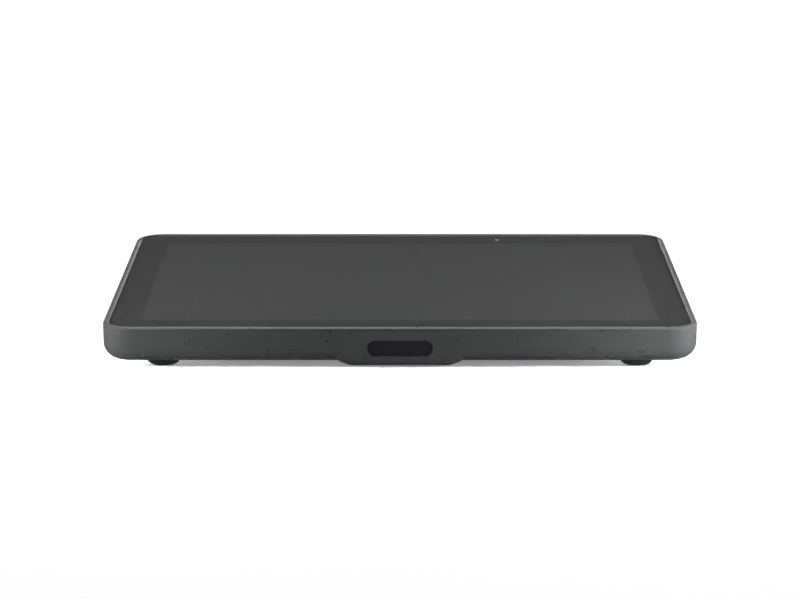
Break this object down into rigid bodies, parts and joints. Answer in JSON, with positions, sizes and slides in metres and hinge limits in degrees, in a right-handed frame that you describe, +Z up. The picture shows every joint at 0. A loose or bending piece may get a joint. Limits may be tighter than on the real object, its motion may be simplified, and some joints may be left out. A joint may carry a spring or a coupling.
{
  "type": "smart display",
  "caption": "Tabletop touch-screen display: a thin rounded slab leaning back on a wedge base, with a motion sensor window in a chin under the front edge.",
  "frame": {"origin": "centre of the footprint on the table, on the plane that the four feet stand on", "axes": "+Z up; the user sits at -Y and faces +Y; +X is to the right as the user sees it"},
  "size_m": [0.2468, 0.1652, 0.0512],
  "materials": {
    "housing": "fine satin, dark grey",
    "cover_glass": "smooth, lightly tinted",
    "black_print": "printed, very dark grey",
    "adhesive": "matt black foam tape",
    "sensor_film": "clear film",
    "lcd": "dark, switched off",
    "backlight": "plain sheet",
    "circuit_board": "solder mask, satin",
    "frame_metal": "die-cast",
    "flex": "film, satin",
    "clear_plastic": "clear",
    "sensor_window": "smooth, near black",
    "steel": "plated",
    "cable_jacket": "matt black",
    "chip": "moulded, matt",
    "thermal_pad": "soft, matt",
    "heat_spreader": "plain sheet",
    "connector_plastic": "moulded",
    "screw": "zinc plated",
    "foot_rubber": "matt",
    "base": "fine texture, dark grey",
    "brass": "machined",
    "ballast": "plain sheet",
    "button": "smooth",
    "speaker_box": "matt black",
    "speaker_cone": "soft, matt",
    "antenna": "foil on film",
    "cover": "fine texture, dark grey"
  },
  "bodies": {
    "display": {"antenna_left": "antenna", "antenna_right": "antenna", "backlight_unit": "backlight", "ballast_plate": "ballast", "base_housing": "base", "base_screws": "screw", "board_ribbon": "flex", "board_ribbon_socket": "connector_plastic", "border_mask": "black_print", "cover_glass": "cover_glass", "display_frame": "frame_metal", "ethernet_port": "steel", "frame_screws": "screw", "front_foot_left": "foot_rubber", "front_foot_right": "foot_rubber", "glass_adhesive": "adhesive", "heat_spreader": "heat_spreader", "housing": "housing", "io_board": "circuit_board", "io_board_screws": "screw", "io_board_spacers": "brass", "lcd_driver_board": "circuit_board", "lcd_panel": "lcd", "lcd_ribbon": "flex", "light_sensor_board": "circuit_board", "light_sensor_lens": "clear_plastic", "light_sensor_ribbon": "flex", "lock_plate": "steel", "main_board": "circuit_board", "main_board_chips": "chip", "main_board_screws": "screw", "motion_board": "circuit_board", "motion_cable": "cable_jacket", "motion_detector": "steel", "motion_window": "sensor_window", "power_parts": "chip", "processor": "chip", "rear_foot_left": "foot_rubber", "rear_foot_right": "foot_rubber", "reset_switch": "connector_plastic", "ribbon_sockets": "connector_plastic", "shield_can": "steel", "speaker_box_left": "speaker_box", "speaker_box_right": "speaker_box", "speaker_cone_left": "speaker_cone", "speaker_cone_right": "speaker_cone", "thermal_pad": "thermal_pad", "threaded_inserts": "brass", "touch_ribbon": "flex", "touch_sensor": "sensor_film", "usb_port_data": "steel", "usb_port_power": "steel"},
    "reset_button": {"reset_button": "button"},
    "cable_cover": {"cable_cover": "cover"}
  },
  "joints": [
    {"name": "reset_press", "type": "slide", "parent": "display", "child": "reset_button", "axis": [0, -1, 0], "range_m": [0, 0.0004], "stiffness_N_per_m": 1500, "springref_m": -0.0005},
    {"name": "cover_slide", "type": "slide", "parent": "display", "child": "cable_cover", "axis": [0, 1, 0], "range_m": [0, 0.04]}
  ]
}
